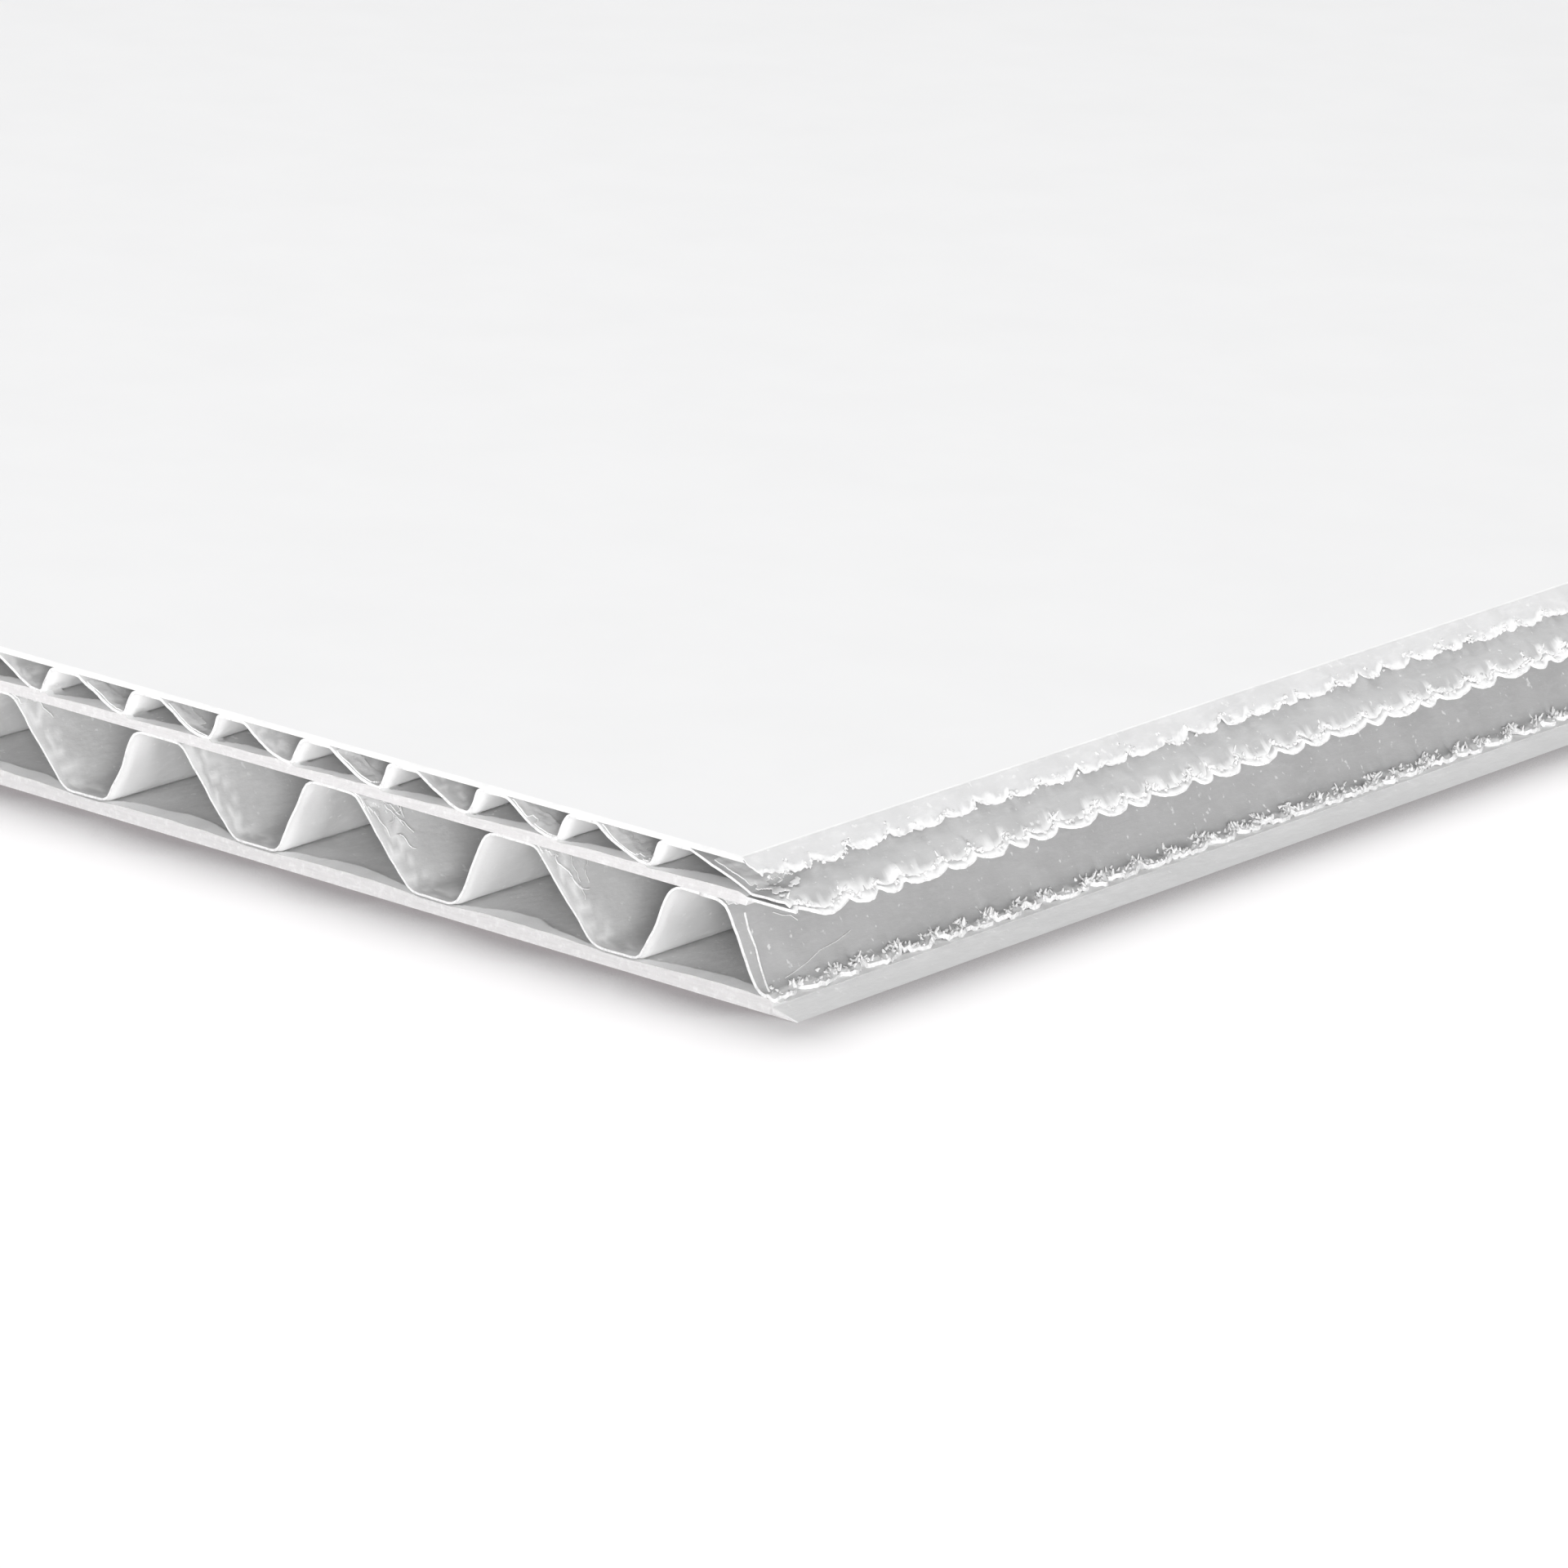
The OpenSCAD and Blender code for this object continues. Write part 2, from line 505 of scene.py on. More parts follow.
def cut_core_material(colours):
    """The cut edge of a liner: fibrous, with fine scores along the blade's way."""
    material, tree, shader, mm = new_paper("cut_core", 0.85)
    scores = noise_node(tree, stretched(tree, mm, (0.9, 0.9, 9.0)), 1.6, 5, 0.65)
    pits = noise_node(tree, mm, 7.0, 4, 0.6)
    tone = mixed(tree, ramp(tree, scores, 0.38, 0.66), darker(colours.core, 0.93), tuple(colours.core))
    tone = mixed(tree, ramp(tree, pits, 0.52, 0.75, 0, 0.6), tone, tuple(colours.torn))
    node_link(tree, tone, shader.inputs["Base Color"])
    bumped(tree, shader, added(tree, scores, pits, 0.6), 0.05 * MM, 0.8)
    return material


def wave_material(colours):
    """Uncoated paper inside the board."""
    return uncoated_material("wave_paper", colours.wave, colours.torn)


def bared_painted_shade_material(colours):
    """A darker copy of the wave paper, as painted shade: on the fine paper's end that the tear has laid open
    under the top liner's skirt, and on the middle liner's top face in the fine tunnels and at its torn edge.
    """
    return uncoated_material("bared_paper_painted_shade", colours.bared_painted_shade, colours.torn)


def highlight_edge_material(colours):
    """The top liner's cut edges and rounded top edges, white as a painted highlight."""
    return uncoated_material("white_edge_painted_highlight", colours.torn, colours.torn)


def web_painted_shade_material(colours):
    """The last coarse wave's face under the torn middle liner: a darker copy of the wave paper, as painted
    shade.
    """
    return uncoated_material("web_paper_painted_shade", colours.web_painted_shade, colours.torn)


def skirt_material(colours):
    """The liner's slanted torn face, which is rougher and whiter towards its lower edge."""
    return uncoated_material("skirt_paper", darker(colours.liner, 0.95), colours.torn)


def skin_material(colours):
    """A torn skin of paper, light and fibrous."""
    return uncoated_material("skin_paper", darker(colours.torn, 0.84), colours.torn)


def uncoated_material(name, colour, torn_colour):
    """Uncoated paper with scattered fibres, white where it is frayed."""
    material, tree, shader, mm = new_paper(name, 0.8)
    cloud = noise_node(tree, mm, 0.55, 4, 0.6)
    fibres = noise_node(tree, stretched(tree, mm, (1.0, 0.35, 1.0)), 5.0, 4, 0.6)
    specks = ramp(tree, noise_node(tree, mm, 4.2, 2), 0.66, 0.74, 0, 0.55)
    tone = mixed(tree, ramp(tree, cloud, 0.36, 0.66), darker(colour, 0.90), tuple(colour))
    tone = mixed(tree, ramp(tree, fibres, 0.5, 0.75, 0, 0.45), tone, darker(colour, 1.14))
    tone = mixed(tree, specks, tone, tuple(torn_colour))
    torn = tree.nodes.new("ShaderNodeAttribute")
    torn.attribute_name = "torn"
    tone = mixed(tree, torn.outputs["Fac"], tone, tuple(torn_colour))
    node_link(tree, tone, shader.inputs["Base Color"])
    bumped(tree, shader, added(tree, fibres, cloud, 0.5), 0.03 * MM, 0.7)
    return material


def torn_material(colours):
    """Frayed paper: white, rough and pitted."""
    material, tree, shader, mm = new_paper("torn_paper", 0.95)
    pits = noise_node(tree, mm, 9.0, 5, 0.65)
    lumps = noise_node(tree, mm, 3.0, 3)
    tone = mixed(tree, ramp(tree, pits, 0.34, 0.52), darker(colours.torn, 0.80), tuple(colours.torn))
    node_link(tree, tone, shader.inputs["Base Color"])
    bumped(tree, shader, added(tree, pits, lumps, 0.5), 0.05 * MM, 0.8)
    return material


def papers():
    """The materials, made once."""
    colours = bpy.context.scene.board_colours
    makers = {
        "smooth_liner": smooth_liner_material,
        "cut_core": cut_core_material,
        "wave_paper": wave_material,
        "bared_paper_painted_shade": bared_painted_shade_material,
        "web_paper_painted_shade": web_painted_shade_material,
        "white_edge_painted_highlight": highlight_edge_material,
        "skirt_paper": skirt_material,
        "skin_paper": skin_material,
        "torn_paper": torn_material,
    }
    for name, maker in makers.items():
        if name not in bpy.data.materials:
            maker(colours)
    return {name: bpy.data.materials[name] for name in makers}


# Operators

class BOARD_OT_camera(bpy.types.Operator):
    """Places the camera at the corner of the sheet"""
    bl_idname = "board.camera"
    bl_label = "Camera"

    def execute(self, context):
        studio = context.scene.board_studio
        az, el, roll = studio.azimuth, studio.elevation, studio.roll
        back = Vector((math.sin(az) * math.cos(el), -math.cos(az) * math.cos(el), math.sin(el)))
        right = Vector((math.cos(az), math.sin(az), 0))
        up = back.cross(right)
        across = math.cos(roll) * right + math.sin(roll) * up
        upward = math.cos(roll) * up - math.sin(roll) * right
        camera = bpy.data.objects.new("camera", bpy.data.cameras.new("camera"))
        context.scene.collection.objects.link(camera)
        turn = Matrix((across, upward, back)).transposed()
        corner = Vector((EDGE_X, FRONT_Y, height("top_liner")[1]))
        camera.matrix_world = Matrix.Translation(corner + Vector(studio.camera_place)) @ turn.to_4x4()
        camera.data.lens = studio.lens
        camera.data.sensor_width = 36
        camera.data.clip_start = 0.01
        context.scene.camera = camera
        return {"FINISHED"}


def dressed_sheet(name, node, rows, columns, mouth, materials, right_x=None, rounding=0):
    """A liner from its CAD solid, cut into rows and columns near its mouths, then shaped.

    mouth(spot) gives how far a point of the top face rises, in mm, and how far it is whitened: frayed paper,
    and at the lipped tunnel mouths partly painted light.
    The materials are those of the top, the cut edges and the underside. The upper right edge
    is rounded by a width in metres.
    """
    bm = merged_copy(node)
    bmesh.ops.dissolve_limit(bm, angle_limit=math.radians(1), verts=bm.verts[:], edges=bm.edges[:])
    if right_x is not None:
        for vert in bm.verts:
            if vert.co.x > 0:
                vert.co.x = right_x
    if rounding:
        top = height(node)[1]
        edge = [e for e in bm.edges if all(v.co.x > 0 and v.co.z > top - 0.01 * MM for v in e.verts)]
        bmesh.ops.bevel(bm, geom=edge, offset=rounding, offset_type="OFFSET", segments=4,
                        profile=0.5, affect="EDGES", material=-1)
    if columns:
        limit = (max(v.co.x for v in bm.verts if v.co.z > height(node)[1] - 0.01 * MM)
                 - FRAME_LOW.x) / MM - 0.2
        divide(bm, 0, [c for c in columns if c < limit] + [WIDTH])
    if rows:
        divide(bm, 1, rows)
    bm.normal_update()
    for face in bm.faces:
        face.material_index = 0 if face.normal.z > 0.98 else 2 if face.normal.z < -0.9 else 1
        if rounding and face.normal.x > 0.2:
            face.material_index = 0
    top = height(node)[1] / MM
    bare_x = (right_end(node) - EDGE_X) / MM - 0.8
    torn = bm.verts.layers.float.new("torn")
    for vert in bm.verts:
        spot = place(vert.co)
        # The whitening goes into the torn layer; at the lipped mouths it is partly painted light.
        rise, frayed = mouth(spot)
        if spot.z > top - 0.01:
            vert.co.z += rise * MM
            vert[torn] = frayed
        elif spot.x > bare_x:
            vert[torn] = frayed
    piece = make_piece(name, bm, materials)
    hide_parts(node)
    return piece


def soften_edges(piece, width):
    """Rounds the upper edges of a flat sheet."""
    mesh = piece.data
    top = max(v.co.z for v in mesh.vertices)
    upper = piece.vertex_groups.new(name="upper")
    upper.add([v.index for v in mesh.vertices if v.co.z > top - 0.01 * MM], 1.0, "REPLACE")
    bevel = piece.modifiers.new("soft edge", "BEVEL")
    bevel.width = width
    bevel.segments = 2
    bevel.limit_method = "VGROUP"
    bevel.vertex_group = upper.name
    # The rounded strip takes the second material, on the top liner the white edge paper: a painted highlight.
    bevel.material = 1
    apply_modifiers(piece)
    piece.vertex_groups.clear()


class BOARD_OT_top_liner(bpy.types.Operator):
    """The smooth top liner, with softened cut edges"""
    bl_idname = "board.top_liner"
    bl_label = "Top liner"

    def execute(self, context):
        look = papers()
        # The top liner's cut edges take the white edge paper: a painted highlight.
        piece = dressed_sheet("top_sheet", "top_liner", [], [], lambda spot: (0, 0),
                              [look["smooth_liner"], look["white_edge_painted_highlight"], look["wave_paper"]])
        soften_edges(piece, 0.085 * MM)
        return {"FINISHED"}


def tunnel_share(spot, crest_x, pitch, run):
    """How far into a tunnel's mouth a point is: 0 at the glued feet or crests, 1 in the middle."""
    share = ((spot.x - crest_x) / pitch) % 1.0
    return math.sin(math.pi * min(share / run, 1.0)) if share < run else 0.0


def lipped(rhythm, seed):
    """The mouth function that raises a ragged lip along a liner's front edge in each tunnel, and whitens it:
    partly the frayed burr, partly painted light where light falls onto the tunnel floor near the mouth.
    """
    sizes = bpy.context.scene.board_mouth
    depth = sizes.lip_depth / MM
    rise = sizes.lip_height / MM

    def mouth(spot):
        back = min(spot.y, LENGTH - spot.y)
        share = tunnel_share(spot, rhythm["foot"], rhythm["pitch"], rhythm["tunnel"])
        reach = depth * (0.30 + 0.70 * share ** 0.8) * (1 + 0.45 * wander(spot, 1.9, seed))
        reach = max(reach, 0.12)
        up = rise * share ** 0.7 * (1 + 0.5 * wander(Vector((spot.x, 0, 0)), 1.2, seed + 1))
        inside = 1 - blend_over(back, 0.82 * reach, reach)
        bare = 0.9 * blend_over(spot.x, rhythm["bare"], rhythm["bare"] + 0.1)
        # The second value whitens the lip: partly frayed paper, partly painted light on the tunnel floor near
        # the mouth.
        return up * inside * (0.7 + 0.3 * back / reach), max(0.9 * inside, bare)
    return mouth


class BOARD_OT_lower_liners(bpy.types.Operator):
    """The middle and bottom liners, with the lips that the blade raised at their front edge"""
    bl_idname = "board.lower_liners"
    bl_label = "Middle and bottom liners"

    def execute(self, context):
        look = papers()
        inner = look["wave_paper"]
        core = look["cut_core"]
        ends = [0.07 * i for i in range(16)] + [1.2, 1.5]
        rows = ends + [LENGTH - row for row in reversed(ends[::3])]
        seen = 34
        columns = [0.5 * i for i in range(int(2 * (WIDTH - seen)))]
        columns += [WIDTH - seen + 0.14 * i for i in range(int(seen / 0.14))]
        bottom = dressed_sheet("bottom_sheet", "bottom_liner", rows, columns, lipped(COARSE, 3),
                               [inner, core, look["smooth_liner"]],
                               rounding=0.22 * MM)
        split = upper_edge_x("middle_liner") - TORN_STRIP
        # The middle liner's top face, the floor of the fine tunnels, takes the darker paper of painted shade.
        middle = dressed_sheet("middle_sheet", "middle_liner", rows, columns, lipped(FINE, 5),
                               [look["bared_paper_painted_shade"], core, inner], right_x=split)
        for piece in (bottom, middle):
            apply_modifiers(piece)
        return {"FINISHED"}


def wave_rhythm(node):
    """Where a waved paper's last crest, its slopes and its feet are, in mm from the top edge."""
    bm = section_line(node)
    top = max(v.co.z for v in bm.verts)
    bottom = min(v.co.z for v in bm.verts)
    crests = sorted((place(v.co).x for v in bm.verts if v.co.z > top - 0.005 * MM), reverse=True)
    feet = sorted((place(v.co).x for v in bm.verts if v.co.z < bottom + 0.005 * MM), reverse=True)
    line = sorted((spot.x, spot.z) for spot in (place(v.co) for v in bm.verts))
    bm.free()
    pitch = crests[1] - crests[3]
    foot = max(x for x in feet if x < crests[1])
    last_foot = min(x for x in feet if x > crests[0])
    slope_foot = min(x for x in feet if x > crests[2])
    return {
        "pitch": pitch,
        "crest_end": crests[0],
        "crest_start": crests[1],
        "foot": foot,
        "last_foot": last_foot,
        "slope_foot": slope_foot,
        "tunnel": (slope_foot - (foot - pitch)) / pitch,
        "steep": (crests[1] - foot) / pitch,
        "bare": (right_end(node) - EDGE_X) / MM - 0.3,
        "top": top / MM,
        "bottom": bottom / MM,
        "line": line,
    }


def slope_point(rhythm, share, back, lift=0.02, wave=0):
    """A point on a wave's long slope: share 0 at the crest, 1 at the foot, lifted in mm.

    The waves are counted from the torn edge.
    """
    crest = rhythm["crest_end"] - wave * rhythm["pitch"]
    foot = rhythm["slope_foot"] - (wave - 1) * rhythm["pitch"] if wave else rhythm["last_foot"]
    x = crest + share * (foot - crest)
    z = surface_height(rhythm, x)
    return Vector((EDGE_X + (x + lift) * MM, FRONT_Y + back * MM, (z + lift) * MM))


def surface_height(rhythm, x):
    """Height of a waved paper's upper face, in mm, at a distance from the top edge."""
    number = min(max(bisect.bisect_left(rhythm["line"], (x, 0)), 1), len(rhythm["line"]) - 1)
    (x0, z0), (x1, z1) = rhythm["line"][number - 1:number + 1]
    return z0 + (z1 - z0) * (x - x0) / max(x1 - x0, 0.001)


def waved(node, seed):
    """The shift of a waved paper: gentle unevenness, more of it near the cut ends."""
    low, high = (level / MM for level in height(node))
    crumple = bpy.context.scene.board_mouth.crumple / MM

    def shift(spot, to_end):
        free = math.sin(math.pi * min(max((spot.z - low) / (high - low), 0), 1))
        near = math.exp(-spot.y / 1.3) + math.exp(-(LENGTH - spot.y) / 1.3)
        sway = crumple * (0.35 + near) * free
        ragged = 0.02 * wander(spot, 0.3, seed + 4) * (1 if spot.y < 0.01 else 0)
        return Vector((
            sway * wander(spot, 1.9, seed),
            ragged,
            0.5 * sway * wander(spot, 1.3, seed + 2)))
    return shift


def fray_mouths_and_paint_light(bm, rhythm, seed):
    """Keeps how frayed the waved paper is at its cut ends and in ragged patches, as the torn layer. The steep
    sides are also whitened near the cut ends: painted light where light falls into the tunnel mouths.
    """
    torn = bm.verts.layers.float.new("torn")
    for vert in bm.verts:
        spot = place(vert.co)
        back = min(spot.y, LENGTH - spot.y)
        share = ((spot.x - rhythm["foot"]) / rhythm["pitch"]) % 1.0
        steep = 1 - blend_over(share, rhythm["steep"], rhythm["steep"] * 1.25)
        reach = 2.0 * (1 + 0.5 * wander(spot, 1.7, seed + 10))
        # Painted light: the steep sides are whitened over about 2 mm behind each cut end, as if lit through
        # the mouth.
        painted_mouth_light = steep * (1 - blend_over(back, 0.3, reach))
        number = math.floor((spot.x - rhythm["foot"]) / rhythm["pitch"])
        ragged = noise.cell(Vector((number + 0.5, seed + 0.5, 0.5))) < 0.45
        patch = ragged * (share > rhythm["steep"]) * (1 - blend_over(back, 0.5, 1.3))
        patch *= blend_over(wander(spot, 0.28, seed + 12, 3), -0.1, 0.25)
        vert[torn] = max(painted_mouth_light, 0.9 * patch, 0.5 * (1 - blend_over(back, 0.0, 0.3)))


def waves_piece(name, node, split_x, seed, look):
    """A waved paper, left of the torn edge."""
    bm = section_line(node)
    keep_right_of(bm, EDGE_X + split_x * MM, keep_right=False)
    fine = (height(node)[1] - height(node)[0]) / MM / 9
    refine(bm, lambda x: max(0.14, fine) if x > -32 else 4 * fine)
    run_along(bm, both_ends(END_ROWS))
    fray_mouths_and_paint_light(bm, COARSE if node == "lower_flute" else FINE, seed)
    move_points(bm, waved(node, seed))
    piece = make_piece(name, bm, [look["wave_paper"], look["torn_paper"]])
    give_thickness(piece, paper_thickness(node), thin=1.0, mouth=0.55)
    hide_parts(node)
    return piece


def paper_thickness(node):
    """Thickness of a waved paper in metres: how far a foot's upper face lies above the liner."""
    bm = merged_copy(node)
    bm.normal_update()
    low, high = height(node)
    levels = [f.calc_center_median().z for f in bm.faces if f.normal.z > 0.999]
    bm.free()
    return max(z for z in levels if z < (low + high) / 2) - low


# Seeds of the unevenness of each waved paper, and of its torn end
WAVE_SEEDS = {("lower_flute", True): 27, ("lower_flute", False): 17,
              ("upper_flute", True): 21, ("upper_flute", False): 11}

COARSE = wave_rhythm("lower_flute")
FINE = wave_rhythm("upper_flute")

# Width of the separately made torn strip of the middle liner
TORN_STRIP = 1.3 * MM

# Cusp offset in mm and seed of each torn line
TEARS = {"skirt": (1.3, 41), "fine": (1.0, 21), "coarse": (1.42, 27)}


def torn_end(name, node, split_x, tear, bite, extend, droop, thin, crumbs, frayed, bulge,
             paper_look, look):
    """The last part of a waved paper, torn into scallops along its right end."""
    sizes = bpy.context.scene.board_torn
    bm = section_line(node)
    keep_right_of(bm, EDGE_X + split_x * MM, keep_right=True)
    end_x = max(v.co.x for v in bm.verts)
    drop_end_edge(bm, end_x)
    rim_x = (end_x - EDGE_X) / MM - 0.5
    refine(bm, lambda x: 0.07 if x > rim_x else 0.15 if x > -0.4 and bulge else 0.24)
    mark_distance(bm, end_x)
    run_along(bm, torn_rows(sizes))
    shift_teeth, seed = TEARS[tear]
    gentle = waved(node, seed)
    pitch = sizes.tooth / MM
    paper = paper_thickness(node) / MM

    def shift(spot, to_end):
        lobe, size = tooth_marks(spot.y, pitch, shift_teeth, seed)
        reach = 0.75
        near = 1 - blend_over(to_end, 0.0, reach)
        cut = bite * size * (1 - lobe) - extend + 0.05 * wander(spot, 0.35, seed + 6, 4)
        down = droop_at(spot, droop, lobe) * (1 - blend_over(to_end, 0.0, 0.42))
        down += paper * (1 - thin) * (1 - blend_over(to_end, 0.0, 0.3))
        rough = 0.025 * wander(spot, 0.22, seed + 8, 3) * (1 - blend_over(to_end, 0.0, 0.35))
        crumb = max(0, wander(spot, 0.17, seed + 9, 3)) * (1 - blend_over(to_end, 0.08, 0.42))
        rough += crumbs * crumb * (1 - 0.6 * lobe)
        if bulge:
            rough += bulge * pressed_skin(spot)
        return gentle(spot, to_end) + Vector((-cut * near, 0, rough - down))
    mark_torn(bm, frayed, 0.8, seed)
    move_points(bm, shift)
    piece = make_piece(name, bm, [paper_look, look["torn_paper"]])
    give_thickness(piece, paper * MM, thin=thin, mouth=0.8)
    return piece


def pressed_skin(spot):
    """How far the last fine slope is raised behind the front corner.

    The blade has pressed the paper there, so that it closes the gap under the torn skirt.
    """
    top = height("top_liner")[0] / MM
    lowest = FINE["bottom"]
    target = top - 0.05 - 0.78 * max(0, spot.x - 0.08) - 0.3 * max(0, spot.x - 0.75)
    target += 0.04 * wander(spot, 0.7, 65, 3) * blend_over(spot.x, 0.1, 0.4)
    lift = max(0, max(target, lowest) - spot.z) if spot.x > FINE["crest_end"] else 0
    return lift * blend_over(spot.y, 0.5, 2.6)


def droop_at(spot, droop, lobe):
    """How far a torn edge is bent down: nothing at the sheet's front corner, most in the lobes."""
    return droop * blend_over(spot.y, 0.1, 1.5) * (0.38 + 0.62 * lobe)


def drop_end_edge(bm, end_x):
    """Removes the upright edge of the CAD paper's own cut end from the chain."""
    ends = [e for e in bm.edges if all(v.co.x > end_x - 0.001 * MM for v in e.verts)]
    if ends:
        bmesh.ops.delete(bm, geom=ends, context="EDGES")


class BOARD_OT_waves(bpy.types.Operator):
    """The fine and the coarse waved papers and their torn right ends"""
    bl_idname = "board.waves"
    bl_label = "Waved papers"

    def execute(self, context):
        look = papers()
        sizes = context.scene.board_torn
        droop = sizes.droop / MM
        fine_split = (FINE["crest_start"] + FINE["crest_end"]) / 2
        coarse_split = (COARSE["crest_start"] + COARSE["crest_end"]) / 2
        waves_piece("fine_waves", "upper_flute", fine_split, 11, look)
        waves_piece("coarse_waves", "lower_flute", coarse_split, 17, look)
        # The fine torn end takes the darker paper of painted shade under the top liner's skirt.
        torn_end("fine_torn_end", "upper_flute", fine_split, "fine", sizes.bite / MM, 0.22, droop,
                 0.6, 0.2, 0.17, 1.0, look["bared_paper_painted_shade"], look)
        # The coarse torn end takes the darkest paper: painted shade under the torn middle liner.
        torn_end("coarse_torn_end", "lower_flute", coarse_split, "coarse", 0.36, 0.16, 0.0, 1.0,
                 0.36, 0.30, 0.0, look["web_paper_painted_shade"], look)
        return {"FINISHED"}


class BOARD_OT_torn_liners(bpy.types.Operator):
    """The middle liner's torn edge and the skirt that hangs torn under the top liner"""
    bl_idname = "board.torn_liners"
    bl_label = "Torn liner edges"

    def execute(self, context):
        look = papers()
        self.middle_edge(context.scene.board_torn, look)
        self.skirt(context.scene.board_torn, look)
        return {"FINISHED"}

    def middle_edge(self, sizes, look):
        low, high = height("middle_liner")
        end_x = right_end("middle_liner")
        bm = bmesh.new()
        start = bm.verts.new((upper_edge_x("middle_liner") - TORN_STRIP, FRONT_Y, high))
        end = bm.verts.new((end_x, FRONT_Y, high))
        bm.edges.new((start, end))
        refine(bm, lambda x: 0.09)
        mark_distance(bm, end_x)
        run_along(bm, torn_rows(sizes))
        pitch = sizes.tooth / MM
        bite = sizes.bite / MM

        def shift(spot, to_end):
            lobe, size = tooth_marks(spot.y, pitch, *TEARS["fine"])
            near = 1 - blend_over(to_end, 0.0, 0.75)
            cut = bite * size * (1 - lobe) + 0.05 * wander(spot, 0.3, 31, 4) - 0.10
            down = droop_at(spot, sizes.droop / MM, lobe) * (1 - blend_over(to_end, 0.0, 0.6))
            rough = 0.02 * wander(spot, 0.2, 33, 3) * near
            return Vector((-cut * near, 0, rough - down))
        move_points(bm, shift)
        mark_torn(bm, 0.22, 0.6, 35)
        # Its top face takes the darker paper of painted shade under the fine paper's torn end.
        piece = make_piece("middle_torn_edge", bm, [look["bared_paper_painted_shade"], look["torn_paper"]])
        give_thickness(piece, high - low, thin=0.35)

    def skirt(self, sizes, look):
        under = height("top_liner")[0]
        corner = right_end("top_liner")
        drop = sizes.skirt_drop
        bm = bmesh.new()
        top = height("top_liner")[1]
        path = [(EDGE_X + 0.03 * MM, top - 0.004 * MM), (corner + 0.03 * MM, under + 0.02 * MM),
                (corner + 0.28 * MM, under - 0.45 * drop), (corner + 0.52 * MM, under - drop)]
        verts = [bm.verts.new((x, FRONT_Y, z)) for x, z in path]
        for first, second in zip(verts, verts[1:]):
            bm.edges.new((first, second))
        end_x = corner + 0.52 * MM
        refine(bm, lambda x: 0.07)
        mark_distance(bm, end_x)
        run_along(bm, torn_rows(sizes))
        pitch = sizes.tooth / MM

        def shift(spot, to_end):
            lobe, size = tooth_marks(spot.y, pitch, *TEARS["skirt"])
            near = 1 - blend_over(to_end, 0.0, 0.7)
            cut = 0.36 * size * (1 - lobe) + 0.09 * wander(spot, 0.25, 43, 4)
            free = 1 - blend_over(to_end, 0.1, 0.6)
            rough = 0.045 * wander(spot, 0.22, 45, 4) * free
            front = blend_over(spot.y, 0.2, 1.2)
            return Vector((-0.72 * cut * near + rough, 0, 0.68 * cut * near + 0.5 * rough
                           + (1 - front) * 0.25 * near))
        move_points(bm, shift)
        mark_torn(bm, 0.22, 1.4, 47)
        piece = make_piece("top_torn_skirt", bm, [look["skirt_paper"], look["torn_paper"]])
        give_thickness(piece, 0.08 * MM, thin=0.6)


class BOARD_OT_torn_skins(bpy.types.Operator):
    """Thin skins of torn paper that cling to the waves by the cut front"""
    bl_idname = "board.torn_skins"
    bl_label = "Torn skins"

    def execute(self, context):
        look = papers()
        bm = bmesh.new()
        # Wave, share of its slope from the crest, mm behind the front, seed, holes
        self.skin(bm, COARSE, 0, (0.0, 0.30), (0.06, 2.1), 71, 0.0)
        self.skin(bm, COARSE, 0, (0.0, 0.10), (2.0, 3.4), 72, 0.1)
        self.skin(bm, FINE, 0, (0.30, 1.50), (0.20, 2.4), 73, 0.0)
        self.skin(bm, COARSE, 1, (0.0, 0.34), (0.05, 0.9), 74, 0.1)
        self.skin(bm, COARSE, 2, (0.0, 0.42), (0.03, 1.7), 75, 0.0)
        self.skin(bm, COARSE, 4, (0.02, 0.30), (0.05, 1.0), 76, 0.0)
        for wave, seed in ((1, 81), (2, 82), (4, 83), (6, 84), (7, 85), (9, 86)):
            self.skin(bm, FINE, wave, (0.02, 0.55), (0.03, 0.7), seed, 0.1)
        piece = make_piece("torn_skins", bm, [look["skin_paper"], look["torn_paper"]])
        give_thickness(piece, 0.035 * MM, thin=1.0)
        return {"FINISHED"}

    def skin(self, bm, rhythm, wave, shares, backs, seed, holes):
        """One ragged skin on the slope of a wave, counted from the torn edge."""
        run = abs(slope_point(rhythm, shares[1], 0, 0, wave).x - slope_point(rhythm, shares[0], 0, 0, wave).x)
        steps = max(8, int(run / (0.045 * MM)))
        rows = max(10, int((backs[1] - backs[0]) / 0.05))
        node = "lower_flute" if rhythm is COARSE else "upper_flute"
        gentle = waved(node, WAVE_SEEDS[node, wave == 0])
        made = bmesh.ops.create_grid(bm, x_segments=steps, y_segments=rows, size=0.5)["verts"]
        drop = set()
        for vert in made:
            across, along = vert.co.x + 0.5, vert.co.y + 0.5
            spot = Vector((across * 3, along * (backs[1] - backs[0]), seed))
            if across > 0.5 and 1 - across < 0.30 + 0.32 * wander(spot, 0.35, seed, 3) + 0.25 * along ** 2:
                drop.add(vert)
            if along > 0.6 and 1 - along < 0.10 + 0.2 * wander(spot, 0.4, seed + 1, 3):
                drop.add(vert)
            if holes and wander(spot, 0.5, seed + 2, 2) > 0.7 - holes:
                drop.add(vert)
            share = shares[0] + across * (shares[1] - shares[0])
            back = backs[0] + along * (backs[1] - backs[0])
            lift = 0.035 + 0.03 * wander(spot, 0.5, seed + 3, 3) + 0.05 * blend_over(across, 0.5, 1)
            under = place(slope_point(rhythm, share, back, 0.0, wave))
            vert.co = slope_point(rhythm, share, back, lift, wave) + gentle(under, 99.0) * MM
            if rhythm is FINE and wave == 0:
                vert.co.z += pressed_skin(under) * MM
        bmesh.ops.delete(bm, geom=list(drop), context="VERTS")


